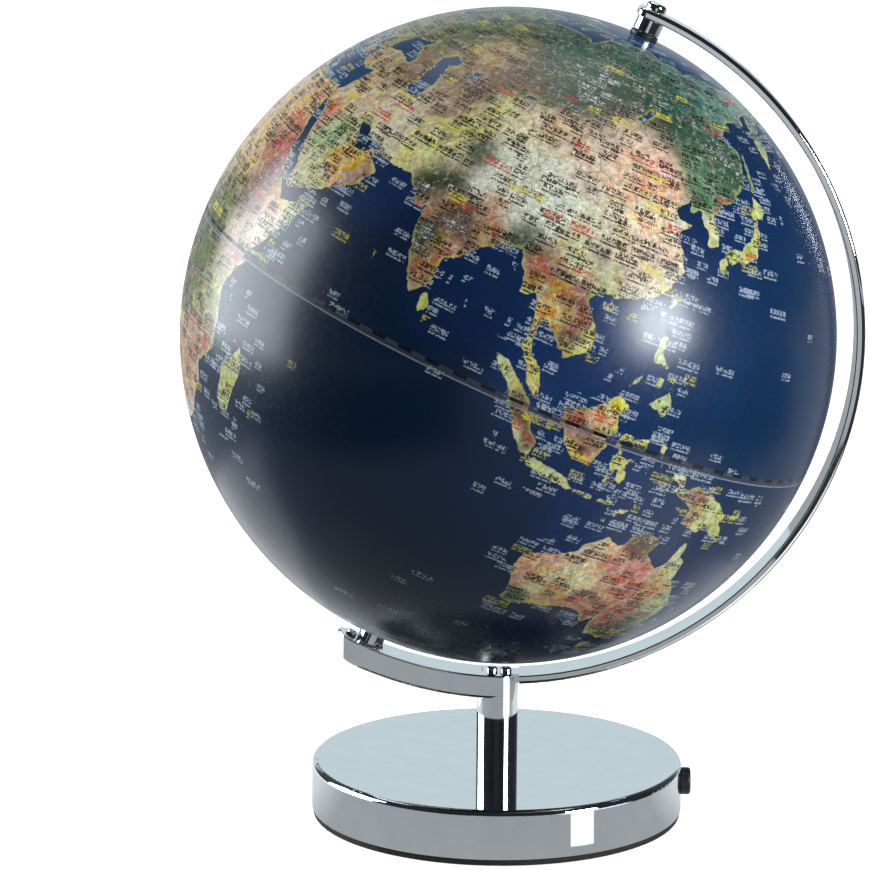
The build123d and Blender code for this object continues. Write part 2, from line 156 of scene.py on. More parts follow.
def plastic(name, dark, light, rough_low, rough_high, scale=400.0, bump_size=2e-5):
    """Moulded plastic or rubber with a fine grain."""
    mat, tree, bsdf = new_material(name)
    mottle = noise(tree, scale * 0.2, 3.0)
    tree.links.new(ramp(tree, mottle, [(0.3, dark), (0.7, light)]), bsdf.inputs["Base Color"])
    fine = noise(tree, scale, 3.0, 0.7)
    tree.links.new(spread(tree, fine, 0.3, 0.7, rough_low, rough_high), bsdf.inputs["Roughness"])
    bump(tree, fine, 0.5, bump_size, bsdf)
    return mat


CHROME = metal("chrome", (0.80, 0.815, 0.825), (0.86, 0.872, 0.88), 0.02, 0.05)
IRON = metal("cast_iron", (0.03, 0.03, 0.032), (0.07, 0.07, 0.072), 0.5, 0.75, 300.0, 2e-4)
ZINC = metal("zinc_sheet", (0.42, 0.43, 0.45), (0.55, 0.56, 0.58), 0.25, 0.45, 80.0, 2e-5)
STEEL = metal("screw_steel", (0.5, 0.51, 0.53), (0.62, 0.63, 0.65), 0.18, 0.35, 500.0, 1e-5)
BRASS = metal("brass", (0.62, 0.46, 0.18), (0.78, 0.62, 0.30), 0.15, 0.3, 400.0)
PAD = plastic("black_pad", (0.008, 0.008, 0.008), (0.02, 0.02, 0.02), 0.75, 0.95, 900.0, 1e-4)
SOCKET = plastic("black_socket", (0.006, 0.006, 0.007), (0.014, 0.014, 0.015), 0.32, 0.48, 1500.0)
LEAD = plastic("black_lead", (0.01, 0.01, 0.01), (0.02, 0.02, 0.02), 0.45, 0.6, 900.0)
BUSH = plastic("black_bush", (0.008, 0.008, 0.009), (0.018, 0.018, 0.02), 0.3, 0.45, 1200.0)
WHITE = plastic("white_plastic", (0.74, 0.74, 0.72), (0.84, 0.84, 0.82), 0.35, 0.5, 500.0)
BOARD = plastic("board", (0.78, 0.79, 0.8), (0.88, 0.88, 0.88), 0.3, 0.4, 500.0)
LED = plastic("led", (0.75, 0.62, 0.2), (0.9, 0.8, 0.35), 0.3, 0.4, 500.0)
FROST = plastic("frosted", (0.8, 0.8, 0.77), (0.9, 0.9, 0.87), 0.5, 0.65, 600.0)

LOOKS = {
    "base_cover": CHROME, "stand_post": CHROME, "arm_cover": CHROME, "meridian_band": CHROME,
    "band_screws": CHROME, "arm_lock_screw": CHROME, "north_pin": CHROME,
    "north_collar": CHROME, "south_collar": CHROME, "base_weight": IRON, "base_plate": ZINC,
    "base_screws": STEEL, "post_nipple": STEEL, "post_washer": STEEL, "post_nut": STEEL,
    "south_spindle": STEEL, "inlet_nut": STEEL, "inlet_pin": BRASS, "foot_pad": PAD,
    "power_inlet": SOCKET, "lamp_lead": LEAD, "north_bush": BUSH, "north_bush_nut": BUSH,
    "south_bush": BUSH, "south_bush_nut": BUSH, "equator_ring": WHITE, "lamp_holder": WHITE,
    "led_board": BOARD, "led_chips": LED, "lamp_diffuser": FROST,
}
for name, mat in LOOKS.items():
    obj = nodes[name]
    if not obj.material_slots:
        obj.data.materials.append(mat)
    for material_slot in obj.material_slots:
        material_slot.material = mat


# ------------------------------------------------------------------ the printed map
# Coastlines as "longitude latitude" pairs in degrees; every outline closes on itself.
LAND = {
    "eurasia": """32.4 30.2, 33.4 28.6, 34.3 27.8, 35 29.5, 34.8 28.1, 36.7 26, 38 24, 39.1 21.5,
        41 18.8, 42.6 16.5, 43.3 12.7, 45 12.8, 48 14, 52.2 15.6, 54 17, 57.8 19, 59.8 22.4, 58.6 23.6,
        56.8 24.4, 56.4 26.3, 54.4 24.3, 51.6 24.2, 51.4 26, 50.8 25, 50 26.7, 48.1 29.4, 50.2 30.1,
        51 28.8, 52.6 27.5, 54.8 26.6, 56.8 27.1, 57.8 25.7, 61.6 25.1, 66.5 25.3, 67.5 23.9, 70.2 22.9,
        69 22.2, 70.9 20.8, 72.5 22.2, 72.8 19, 73.8 15.4, 74.8 12.9, 76.2 10, 77.5 8.1, 79 9.4,
        79.9 10.4, 80.3 13.2, 80.1 15.3, 82.3 16.6, 85 19.5, 87 20.8, 88.2 21.8, 90.3 22.1, 91.8 22.5,
        92.4 20.7, 94 18.6, 94.4 16, 95.4 15.8, 97.2 16.9, 97.8 14.5, 98.7 12, 98.3 8.2, 100.3 5.6,
        101.4 2.9, 103.6 1.3, 104.2 1.6, 103.4 4.2, 102.4 6.1, 100.5 7.3, 99.8 9.4, 99.4 10.8,
        100 13.3, 100.9 13.4, 101 12.6, 102.4 12.1, 103.6 10.5, 105 10.1, 104.8 8.6, 106.7 9.9,
        109 11.3, 109.3 13, 108.6 15.6, 106.4 17.9, 105.7 19.2, 106.9 20.8, 109.6 21.5, 109.9 20.3,
        110.6 21.3, 114.2 22.4, 116.8 23.3, 119.6 25.8, 121.9 29.4, 120.9 32.3, 119.2 34.8, 120.4 36.1,
        122.6 37.2, 119.1 37.2, 117.7 38.8, 121.6 40.9, 121.3 38.9, 124.3 40, 125 37.8, 126.6 37.4,
        126.4 34.5, 129.2 35.3, 129.4 37.1, 127.5 39.6, 130.7 42.3, 133 42.9, 138.3 46.3, 140.5 49.5,
        141.3 53.1, 137.6 54, 135.2 54.8, 138.5 57, 143.2 59.4, 150 59.6, 154.6 59.5, 157 61.7,
        164 62.6, 159.8 60.3, 156.9 57.7, 155.6 55, 156.7 51, 158.6 52.9, 162.2 55, 163.3 58, 170.4 60,
        179 62.4, 177.5 64.7, 187 64.4, 190.3 66, 180 69, 161 69.6, 152 71, 140 72.5, 130 71, 127 73.2,
        115 73.7, 105 77.5, 95 76, 80.5 73.5, 75 72.8, 74 68.5, 72 67, 69 68.5, 60 69, 54 68.5, 46 68,
        44 66, 38 64, 33 66.7, 40 66.2, 41 67.7, 33 69.4, 28 71, 20 70, 14 67.5, 10 64, 5 61.5,
        5.5 59, 8 58, 11 59, 12.5 56, 14.5 55.5, 18.5 60, 17.3 61, 21 64.5, 25 65.5, 21.5 62, 23 60,
        29 60, 23.5 59, 21 56.5, 20 54.5, 12 54.2, 10.5 57.5, 8.2 56.5, 8.8 54, 4.5 52.5, 1.7 50.8,
        -1.5 49.6, -4.7 48.4, -1.2 46, -1.6 43.4, -9 43.3, -9.2 38.7, -6 36.3, -2 36.8, 3.2 42,
        7.5 43.8, 10 44, 12.3 41.8, 15.8 40, 16 38, 18.5 40.2, 13.6 43.6, 12.4 45.4, 19.4 42,
        21.5 37.5, 24 38, 23 40.4, 26.3 40.6, 27 37.2, 32.5 36.1, 36 36.7, 35.5 34, 34.3 31.3""",
    "africa": """32.6 31.3, 29 31, 20 31, 15.5 32, 10.8 34, 10.3 37.3, 3 36.9, -5.9 35.8, -9.8 30.5,
        -13 27.7, -17 21, -17.4 14.7, -13.5 9.5, -7.5 4.4, -3 5.1, 4.5 6.3, 8.7 4.6, 9.3 0, 12.3 -6,
        13.7 -12, 12 -17.5, 15 -27, 18.3 -34, 20 -34.8, 25.6 -34, 30 -31.5, 33 -26, 35.4 -23.5,
        34.9 -19.8, 40.3 -15.5, 40.5 -11, 39 -5.5, 41.5 -1.8, 46 2.5, 49.8 8, 51.3 11.8, 48.5 11.3,
        44.5 10.4, 43.1 12, 39.6 15.4, 37.3 19, 37 21.5, 35.3 24, 32.8 29.6""",
    "madagascar": """49.3 -12, 50.4 -15.5, 49.3 -18.5, 47.2 -25, 45 -25.5, 43.6 -23, 44.4 -20,
        44.4 -16.3, 48.2 -13.6""",
    "sri_lanka": "79.9 9.6, 81.3 8.4, 81.8 7, 80.4 5.9, 79.8 7.5",
    "sumatra": """95.2 5.6, 97.6 5.2, 100.4 2.6, 103.3 0.3, 104.4 -2.2, 106 -3.1, 105.9 -5.8, 104.6 -5.9,
        102.3 -4, 100.4 -1, 98.6 1.7, 96.1 3.7""",
    "java": "105.2 -6.7, 106.9 -6, 110.8 -6.4, 112.8 -7, 114.5 -7.9, 114.4 -8.7, 110.5 -8.2, 106.4 -7.5",
    "bali": "114.8 -8.1, 119 -8.2, 118.9 -8.9, 115 -8.8",
    "flores": "119.9 -8.4, 123 -8.1, 122.8 -8.7, 120.2 -8.9",
    "timor": "123.5 -10.4, 124.8 -9.1, 127.2 -8.3, 125.6 -9.6",
    "borneo": """109 1.8, 111.4 2.6, 113.2 3.3, 115.2 5.2, 116.8 7, 119.2 5.3, 117.8 3.7, 119 1, 117.5 0,
        116.3 -2, 116 -4, 114.4 -3.8, 111.8 -3.4, 110.1 -1.6, 109 0.3""",
    "sulawesi": """119.8 0.6, 120.6 1.3, 123.2 1, 125.2 1.6, 124.2 0.3, 120.4 0.4, 120.3 -1, 123.2 -0.8,
        121.9 -1.8, 122.8 -4, 122.3 -5, 121.4 -4.6, 121 -2.9, 120.4 -3.2, 120.3 -5.6, 119.5 -5.4,
        119.4 -3.4, 118.9 -2.5""",
    "halmahera": "127.5 2, 128.8 1.2, 128.2 -0.8, 127.6 0.5",
    "seram": "127.9 -3, 130.8 -3.1, 130.5 -3.7, 128 -3.5",
    "new_guinea": """131 -0.7, 134 -0.8, 134.6 -3.2, 137.8 -1.6, 141 -2.6, 144.6 -3.9, 147.8 -6, 147 -6.9,
        150.8 -10.4, 147 -9.6, 144 -7.8, 143 -9.2, 141 -9.1, 138 -8.3, 138.4 -5.8, 135 -4.4, 132.8 -3.8,
        133.4 -2.5, 131.4 -1.6""",
    "new_britain": "148.4 -5.6, 150.6 -5.4, 152.2 -4.2, 151.6 -5.6, 149.6 -6.3",
    "luzon": "120.3 16.1, 120.6 18.5, 122.2 18.4, 121.6 15.6, 124.1 12.8, 122.2 13.8, 120.6 13.7, 120.1 15",
    "visayas": "122 11.8, 123.2 11.5, 123.3 9.6, 122.4 9.8",
    "samar": "124.3 12.5, 125.5 12.2, 125.2 10.3, 124.6 11",
    "mindanao": "122 7, 123.5 8.5, 125.4 9.8, 126.5 7.4, 125.4 5.7, 124.1 6.3",
    "palawan": "117.2 8.4, 119.5 11.3, 119.3 10.4, 117.8 8.4",
    "taiwan": "120.1 23, 121.1 25.1, 122 25, 120.9 22",
    "hainan": "108.6 19.2, 109.6 20.1, 111 19.8, 110 18.3",
    "kyushu": "129.7 33, 131 34, 132 32.8, 131 31.1, 130.1 31.3",
    "honshu": """130.9 34, 132.8 35.6, 136 35.9, 137 37.4, 138.9 37.9, 139.9 39.5, 140.2 41.3, 141.4 41.4,
        142 39.5, 140.9 37, 140.7 35.5, 138.8 34.7, 135.8 33.4, 135 34.7, 132.4 34""",
    "shikoku": "132.2 33.8, 134.6 34.3, 134 33.3, 132.9 32.8",
    "hokkaido": "139.8 42.5, 141.2 43.4, 141.7 45.5, 145.4 43.8, 143.3 42, 140.4 41.5",
    "sakhalin": "142 46, 142 49, 142.7 54.3, 143.4 52, 143.2 49.5, 143.4 46.6",
    "australia": """113.7 -22.6, 114.3 -21.8, 119.5 -20, 122.2 -18.2, 122.8 -16.6, 126.1 -14, 129.3 -15,
        130.6 -12.5, 132.6 -11.4, 136.8 -12.2, 135.6 -14.8, 139.6 -17.6, 141 -16.5, 141.8 -12.5,
        142.5 -10.8, 143.6 -14.2, 145.4 -15, 146.2 -18.8, 149.8 -22.3, 153 -25.5, 153.4 -28.5,
        152.4 -32.4, 150 -37.3, 146.4 -39, 144.3 -38.3, 140.6 -38, 138.1 -34.3, 137.8 -32.8,
        135.7 -34.9, 134.1 -32.8, 131.2 -31.5, 124 -33, 120 -34, 117.9 -35.1, 115.1 -34.3, 115.7 -32,
        113.5 -26""",
    "tasmania": "144.7 -40.8, 148.2 -40.8, 147.9 -43.2, 146 -43.5",
    "north_island": """172.8 -34.5, 175.3 -36.5, 178.4 -37.7, 176.9 -39.5, 175.3 -41.6, 173.9 -39.4,
        174.8 -38""",
    "south_island": "172.7 -40.6, 174.2 -41.7, 170.7 -45.9, 168.5 -46.6, 166.5 -45.9",
    "britain": "-5.5 50.1, 1.3 51.3, -1.8 55.5, -2 57.6, -5 58.5, -5.8 56.5, -3 54.8, -4.5 53, -3 51.4",
    "ireland": "-10 52, -6.4 52.2, -6 54.8, -8 55.2, -10 54",
    "iceland": "-22 64, -18.5 63.4, -14 65, -16 66.4, -22.5 66.2",
    "novaya_zemlya": "52 71, 56 73.6, 66 77, 68.5 76.6, 58 73, 57 70.7",
    "svalbard": "12 79, 20 80.3, 25 79, 17 76.7",
    "greenland": """-73 78, -60 82, -32 83.4, -20 80, -20 74, -25 70, -34 66.5, -43 60, -51 64, -54 69,
        -58 75""",
    "north_america": """-168 65.6, -166 68.3, -156.5 71.3, -141 69.7, -128 70, -115 68.5, -95 69,
        -94 72, -81.5 69, -87 66.5, -94 61, -92 57, -82.5 55, -80 51.5, -79 54.5, -77.5 62.4, -70 61,
        -64.5 60.3, -55.7 52.5, -66.5 50, -70 47, -64.5 46.5, -61 45.5, -66 43.6, -70.5 43.3, -70 41.7,
        -74 40.6, -75.6 35.2, -81 31.8, -80.4 25.2, -82.7 28, -84.2 30, -91 29.2, -97 28, -97.7 22.5,
        -95 18.3, -91 18.6, -87 21.4, -88 16, -83.3 15, -83 10, -79.5 9.5, -77.4 8.6, -81.5 7.4,
        -87.7 13, -94 16.1, -105.5 20.3, -112.5 29.5, -114.7 31.7, -109.5 23.1, -117.2 32.6,
        -120.6 34.6, -124.3 40.3, -124 46.3, -130 54.7, -136 58.5, -145 60.3, -152 59.5, -163 55,
        -158 58.5, -165 62""",
    "south_america": """-77.6 8.6, -75.5 10.5, -71.7 12.3, -62 10.6, -51.5 4.2, -50 0, -44 -2.5, -35 -6,
        -39 -14, -41.5 -22.5, -48 -26, -53.5 -34, -58 -34.2, -57.5 -38, -65 -42, -68.5 -50, -66 -55,
        -72 -54, -75.3 -50, -73 -42, -71.5 -32, -70.3 -18.3, -76 -14, -81.2 -5, -80 0.5, -77.5 4""",
    "baffin": "-80 73.5, -68 70, -62 66, -66 62.5, -73 64.5, -73 68, -88 70.5, -89 73",
    "victoria": "-116 73, -105 73, -101 69, -116 69.5",
    "ellesmere": "-85 77, -90 80, -70 83, -63 82, -76 78, -80 76.3",
    "newfoundland": "-59 48, -55.5 51.5, -53 47",
    "cuba": "-84.8 22, -81 23.1, -74.3 20.2, -77.5 19.9",
    "hispaniola": "-74 18.5, -73 19.9, -68.5 18.7",
}
LAKES = {
    "black_sea": "28.5 41.3, 28 43, 29.8 45.5, 33 45.8, 38.5 47, 37 45, 41.5 42.2, 41 41.2, 35 42",
    "caspian": """47 45, 49 46.5, 52.5 46.8, 53.2 45.2, 51 44.5, 52.7 42.5, 53.6 40, 53.8 37, 51 36.8,
        49 37.7, 49.3 40.3, 47.7 43""",
    "aral": "58.5 44, 59 46, 61.5 46.3, 60.5 44",
    "balkhash": "74 45.5, 75 46.8, 79 46.8, 75.5 46",
    "baikal": "103.8 51.4, 106 53.2, 109.4 55.8, 109.9 55.3, 108.5 53.3, 106 51.6",
}
# The southern ice reaches up to these latitudes at these longitudes.
ICE_LON = [-180, -150, -120, -75, -60, -45, -10, 40, 75, 110, 150, 165, 180]
ICE_LAT = [-78, -76, -73.5, -72, -64.5, -77, -70.5, -68.5, -69, -66, -68, -72, -78]

# Colours of the printed land: longitude, latitude, reach in degrees, colour.
LAND_SPOTS = [
    (10, 23, 16, "c9a56a"), (33, 19, 4, "b0503a"), (29, 27, 5, "c8a070"), (22, -2, 9, "5e6b35"),
    (38, 9, 4, "7a4a34"), (37, 14, 2.5, "8a4030"), (43, 9.5, 2.5, "e0a850"), (45, 5, 4, "ecd2b4"),
    (49, 9.5, 2, "cfd890"), (38, 0, 4, "bca088"), (36, -8, 5, "989464"), (37, -16, 4, "a47c50"),
    (25, -24, 7, "b5824c"), (38, 27.5, 2.5, "d06238"), (45, 25, 3.2, "a4c07c"), (52, 22, 3, "e0ad3c"),
    (46, 17, 3.5, "c8c084"), (57, 20, 2, "b08068"), (42, 31, 5, "d4b888"), (34, 38, 5, "b89c68"),
    (45, 41, 4, "8f7048"), (54, 33, 5, "dccba4"), (60, 41, 5, "a07c52"), (67, 48, 7, "7c5a3e"),
    (58, 52, 5, "c09a48"), (66, 32, 4, "dcd27c"), (71, 31, 2.5, "cfc084"), (72, 27, 3, "34402e"),
    (74, 23, 2.5, "a07c58"), (79, 22.5, 3, "644834"), (76, 17, 2.5, "3a4a30"), (79, 17, 2, "c8883c"),
    (78, 12, 2.5, "a8743c"), (80.5, 7.5, 2, "c8cc50"), (85, 23, 2.5, "b47838"), (84, 27.3, 2, "c88a48"),
    (91, 24, 2.5, "46583e"), (75, 34, 2.5, "56604a"), (70, 38, 3, "d2c878"), (72, 43, 3, "e2dc80"),
    (88, 33, 7, "e2e4ca"), (80, 41, 4, "ecdcac"), (88, 43, 3.5, "d8a878"), (96, 40, 4, "e4c8a8"),
    (103, 46, 6, "f0cca8"), (97, 47, 3, "b0a080"), (113, 43, 4, "f2b090"), (109, 39, 3, "e2b47c"),
    (112, 36, 4, "f4d8a0"), (117, 33, 4, "ecd0ac"), (111, 26, 4, "dcc49c"), (118, 26.5, 3, "dcc8ac"),
    (103, 30, 3, "dccca4"), (101, 26, 3, "d8cc94"), (105, 27, 1.6, "8a7074"), (108, 23.5, 2.5, "b8b878"),
    (125, 46, 5, "5c8660"), (130, 50, 5, "2c5240"), (127.5, 37, 2.5, "cfc890"), (137, 36, 4, "bcc060"),
    (143, 43, 2, "b8c868"), (96, 21, 3, "a26a46"), (97, 17, 2, "c8b048"), (101, 15.5, 3, "d0a044"),
    (104, 18, 2, "8e4c38"), (105.5, 15, 1.6, "a85c40"), (108.8, 13.5, 1.6, "dcd45c"),
    (104.7, 12.4, 1.8, "5a4630"), (106, 10.3, 1.5, "c8b850"), (102, 4, 2.5, "dcc83c"),
    (99, 8, 1.6, "c8cc6c"), (97, 3.5, 1.6, "d8dc9a"), (99, 0.2, 1.3, "d8dc9a"), (102, -3.5, 1.3, "d8dc9a"),
    (101.5, 0.5, 1.8, "7a5634"), (104.2, -3, 1.6, "6e5038"), (110, -7.3, 3, "cfd68c"),
    (111, 1.3, 1.8, "a85a3a"), (114, 1.8, 1.8, "cc9850"), (117, 5.4, 1.6, "e4d23c"),
    (116.5, 2, 1.5, "d8c068"), (114, -1.6, 1.8, "8c5440"), (111.3, -2.4, 1.2, "dcc83c"),
    (115.6, -3, 1.2, "dc9c48"), (121, -2, 3, "d4d468"), (122, 12, 5, "bcc886"), (133, -2, 2, "d4ccb0"),
    (138, -4.6, 2.6, "a06a4c"), (143.5, -5.5, 2.6, "ccd074"), (147, -8.5, 2.5, "b8c070"),
    (117.5, -23, 3.6, "f0bc84"), (116, -27, 2.5, "dc9464"), (121, -28, 3, "d8c884"),
    (126, -17, 2.6, "ecc088"), (126, -24, 3.2, "f4e09c"), (133, -13.8, 2, "6a4c34"),
    (131, -19, 2.8, "dc8c68"), (138, -22.5, 3, "d47454"), (134, -25, 2.6, "dc9c60"),
    (143, -22, 2.8, "cca464"), (145, -17.5, 2, "d8d8a0"), (150, -26, 2.6, "aebc8c"),
    (147, -34, 3, "5c5238"), (150, -31, 2, "7c8450"), (142, -30, 2.5, "bb6a40"),
    (117, -33, 2, "5f7c48"), (124, -31.5, 2.5, "c89a58"), (131, -29, 3, "b8703c"),
    (138, -31.5, 2, "a85a38"), (146, -42, 2, "6c8450"), (47, -19, 4, "b4b450"), (172, -42, 6, "8fa860"),
    (80, 60, 10, "265e44"), (70, 64, 8, "3c705a"), (97, 60, 9, "163e2c"), (90, 52, 4, "2a4434"),
    (110, 57, 7, "1c4a38"), (105, 66, 7, "326a52"), (125, 64, 8, "3e7c64"), (140, 60, 6, "5a8a78"),
    (160, 66, 8, "7a9894"), (115, 72, 8, "6a8c84"), (158, 55, 3, "a8b888"), (15, 50, 9, "8c8858"),
    (17, 63, 6, "5a7858"), (40, 57, 8, "6f7c50"), (-100, 40, 12, "b49a62"), (-110, 57, 11, "6a8a60"),
    (-150, 65, 7, "8a9a80"), (-62, -5, 10, "5a7a42"), (-71, -20, 6, "b07850"), (-68, -43, 6, "c0a070"),
    (-45, -14, 7, "a8a058"), (-102, 23, 5, "c08a55"), (-40, 73, 10, "dfe6e6"), (0, -80, 40, "dfe4e6"),
]
# Colours of the printed sea.
SEA_SPOTS = [
    (70, -18, 20, "0a2038"), (88, -25, 14, "0a2442"), (52, -33, 14, "0c2440"), (62, 8, 9, "0f2038"),
    (85, 12, 7, "132a50"), (62, 18, 5, "16305a"), (108, 8, 9, "11305c"), (118, 15, 7, "133460"),
    (105, -14, 8, "0c2646"), (118, -10, 8, "15305a"), (130, 20, 12, "10325a"), (150, 10, 16, "0f2e50"),
    (150, -15, 9, "132c52"), (125, 35, 6, "10305a"), (145, 50, 8, "102f56"), (100, -42, 14, "08223c"),
    (135, -45, 14, "0f1e38"), (-150, 0, 40, "1a3458"), (-40, 10, 30, "18304f"), (0, -60, 25, "1a2c48"),
    (0, 85, 25, "24466c"),
]
# The map's turn about the axis, and how much further the southern sheet is turned.
MAP_SPIN = 170.2
SOUTH_SHIFT = 0.9


def linear(code):
    """Linear RGB of a six-digit sRGB colour."""
    srgb = np.array([int(code[i:i + 2], 16) for i in (0, 2, 4)]) / 255
    return np.where(srgb <= 0.04045, srgb / 12.92, ((srgb + 0.055) / 1.055) ** 2.4)


def printed(lat):
    """Latitude at which the printed sheets show a true latitude."""
    north = lat + 0.8 + 3.6 * np.exp(-(((lat - 60) / 19) ** 2))
    south = lat - 0.5 - 1.6 * np.exp(-(((lat + 18) / 14) ** 2))
    return np.clip(np.where(lat >= 0, north, south), -90, 90)


def points(text):
    """Longitude and latitude pairs of an outline."""
    return np.array([[float(v) for v in pair.split()] for pair in text.split(",")])


def wrapped(lon, middle):
    """The same longitude, no more than 180 degrees from the middle one."""
    return (lon - middle + 180) % 360 - 180 + middle


def shore_distance(outline, lon, lat):
    """Degrees to the outline, positive inside it."""
    lon = wrapped(lon, (outline[:, 0].min() + outline[:, 0].max()) / 2)
    squeeze = np.cos(np.radians(lat))
    nearest = np.full(lon.shape, 1e9)
    inside = np.zeros(lon.shape, bool)
    for (x0, y0), (x1, y1) in zip(outline, np.roll(outline, -1, axis=0)):
        dx, dy = (x1 - x0) * squeeze, y1 - y0
        px, py = (lon - x0) * squeeze, lat - y0
        along = np.clip((px * dx + py * dy) / (dx * dx + dy * dy + 1e-12), 0, 1)
        nearest = np.minimum(nearest, (px - along * dx) ** 2 + (py - along * dy) ** 2)
        if y0 != y1:
            inside ^= ((y0 > lat) != (y1 > lat)) & (lon < x0 + (x1 - x0) * (lat - y0) / (y1 - y0))
    return np.where(inside, 1, -1) * np.sqrt(nearest)


def spot_colour(spots, lon, lat):
    """Colours blended from the spots, each weighing in over its own reach."""
    total = np.zeros((len(lon), 3))
    weights = np.full(len(lon), 1e-9)
    for x, y, reach, code in spots:
        across = wrapped(lon - x, 0) * np.cos(np.radians((lat + y) / 2))
        near = (across**2 + (lat - y) ** 2) / reach**2
        weight = np.exp(-1.4 * near) + 0.002 / (1 + near) ** 3
        total += weight[:, None] * linear(code)
        weights += weight
    return total / weights[:, None]


# ------------------------------------------------------------------ globe meshes
EAST = Vector((0, 1, 0)).cross(AXIS).normalized()
SIDE = AXIS.cross(EAST)
SEGMENTS = 540
OUTSIDE_RINGS = 156
INSIDE_RINGS = 12
NORTH_HOLE = 0.00385
SOUTH_HOLE = 0.00435
SHELL_IN = 0.1234
TAPE_OUT = 0.12502
TAPE_IN = 0.12472
TAPE_HALF = 0.0016


def revolved(name, profile, mat, south=False):
    """Closed ring of revolution about the globe's axis, carrying the map's attributes."""
    radius, height = np.array(profile).T
    turn = np.radians(np.arange(SEGMENTS) * 360 / SEGMENTS)
    r = np.repeat(radius, SEGMENTS)
    z = np.repeat(height, SEGMENTS)
    angle = np.tile(turn, len(profile))
    x_dir, y_dir, z_dir = np.array(EAST), np.array(SIDE), np.array(AXIS)
    place = (np.array(CENTRE) + (r * np.cos(angle))[:, None] * x_dir
             + (r * np.sin(angle))[:, None] * y_dir + z[:, None] * z_dir)
    ring = np.arange(len(profile))[:, None] * SEGMENTS
    ring_next = np.roll(ring, -1, axis=0)
    step = np.arange(SEGMENTS)[None, :]
    step_next = (step + 1) % SEGMENTS
    quads = np.stack([ring + step, ring + step_next, ring_next + step_next, ring_next + step], axis=-1)
    quads = quads.reshape(-1, 4)
    if south:
        quads = quads[:, ::-1]
    mesh = bpy.data.meshes.new(name)
    mesh.from_pydata(place, [], quads.tolist())
    mesh.shade_smooth()
    mesh.set_sharp_from_angle(angle=math.radians(30))
    paint(mesh, np.degrees(angle), np.degrees(np.arctan2(z, r)), south)
    mesh.materials.append(mat)
    obj = bpy.data.objects.new(name, mesh)
    bpy.context.scene.collection.objects.link(obj)
    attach(obj, "globe")
    return obj


def paint(mesh, turn, height, south):
    """Shore distance and the printed colours of land and sea at every vertex."""
    true_lat = np.linspace(-90, 90, 721)
    lat = np.interp(height, printed(true_lat), true_lat)
    lon = turn - MAP_SPIN - (SOUTH_SHIFT if south else 0)
    shore = np.interp(wrapped(lon, 0), ICE_LON, ICE_LAT) - lat
    for text in LAND.values():
        shore = np.maximum(shore, shore_distance(points(text), lon, lat))
    for text in LAKES.values():
        shore = np.minimum(shore, -shore_distance(points(text), lon, lat))
    mesh.attributes.new("shore", "FLOAT", "POINT").data.foreach_set("value", shore)
    for name, spots in (("land", LAND_SPOTS), ("sea", SEA_SPOTS)):
        colour = np.ones((len(lon), 4))
        colour[:, :3] = spot_colour(spots, lon, lat)
        mesh.attributes.new(name, "FLOAT_COLOR", "POINT").data.foreach_set("color", colour.ravel())


def shell_profile(side, hole):
    """Half section: rim step under the tape, outside up to the pole hole, then back inside."""
    tape = math.asin(TAPE_HALF / GLOBE_R)
    pole = math.acos(hole / GLOBE_R)
    inner_pole = math.acos(hole / SHELL_IN)
    outside = np.linspace(tape, pole, OUTSIDE_RINGS)
    inside = np.linspace(inner_pole, 0, INSIDE_RINGS)
    profile = [(TAPE_IN, 0), (TAPE_IN, TAPE_HALF)]
    profile += [(GLOBE_R * math.cos(a), GLOBE_R * math.sin(a)) for a in outside]
    profile += [(SHELL_IN * math.cos(a), SHELL_IN * math.sin(a)) for a in inside]
    return [(r, side * h) for r, h in profile]


# ------------------------------------------------------------------ print material
def calc(tree, operation, *values):
    n = node(tree, "ShaderNodeMath", operation=operation)
    for socket, value in zip(n.inputs, values):
        plug(tree, socket, value)
    return n.outputs[0]


def vector_calc(tree, operation, a, b, output="Vector"):
    n = node(tree, "ShaderNodeVectorMath", operation=operation)
    for socket, value in zip(n.inputs, (a, b)):
        plug(tree, socket, value)
    return n.outputs[output]


def mix(tree, factor, a, b, blend="MIX"):
    """Colour a at factor 0 and colour b at factor 1."""
    n = node(tree, "ShaderNodeMix", data_type="RGBA", blend_type=blend)
    for socket, value in zip((n.inputs[0], n.inputs[6], n.inputs[7]), (factor, a, b)):
        plug(tree, socket, value)
    return n.outputs[2]


def tone(code):
    """Socket colour of a six-digit sRGB colour."""
    return (*linear(code), 1.0)


def attribute(tree, name, output):
    n = node(tree, "ShaderNodeAttribute", attribute_name=name)
    return n.outputs[output]


def globe_place(tree):
    """Longitude from the map's zero and latitude on the ball, both in degrees."""
    place = node(tree, "ShaderNodeTexCoord").outputs["Object"]
    place = vector_calc(tree, "SUBTRACT", place, CENTRE)
    x, y, z = (vector_calc(tree, "DOT_PRODUCT", place, axis, "Value") for axis in (EAST, SIDE, AXIS))
    size = vector_calc(tree, "LENGTH", place, (0, 0, 0), "Value")
    turn = calc(tree, "MULTIPLY", calc(tree, "ARCTAN2", y, x), 180 / math.pi)
    height = calc(tree, "MULTIPLY", calc(tree, "ARCSINE", calc(tree, "DIVIDE", z, size)), 180 / math.pi)
    return calc(tree, "ADD", turn, 360 - MAP_SPIN), height


def white(tree, *values):
    """One random number and a random colour for each cell."""
    cell = node(tree, "ShaderNodeCombineXYZ")
    for socket, value in zip(cell.inputs, values):
        plug(tree, socket, value)
    n = node(tree, "ShaderNodeTexWhiteNoise", noise_dimensions="3D")
    tree.links.new(cell.outputs[0], n.inputs["Vector"])
    return n.outputs["Value"], n.outputs["Color"]


def between(tree, value, low, high):
    """1 where the value lies between the two limits, else 0."""
    above = calc(tree, "GREATER_THAN", value, low)
    return calc(tree, "MULTIPLY", above, calc(tree, "LESS_THAN", value, high))


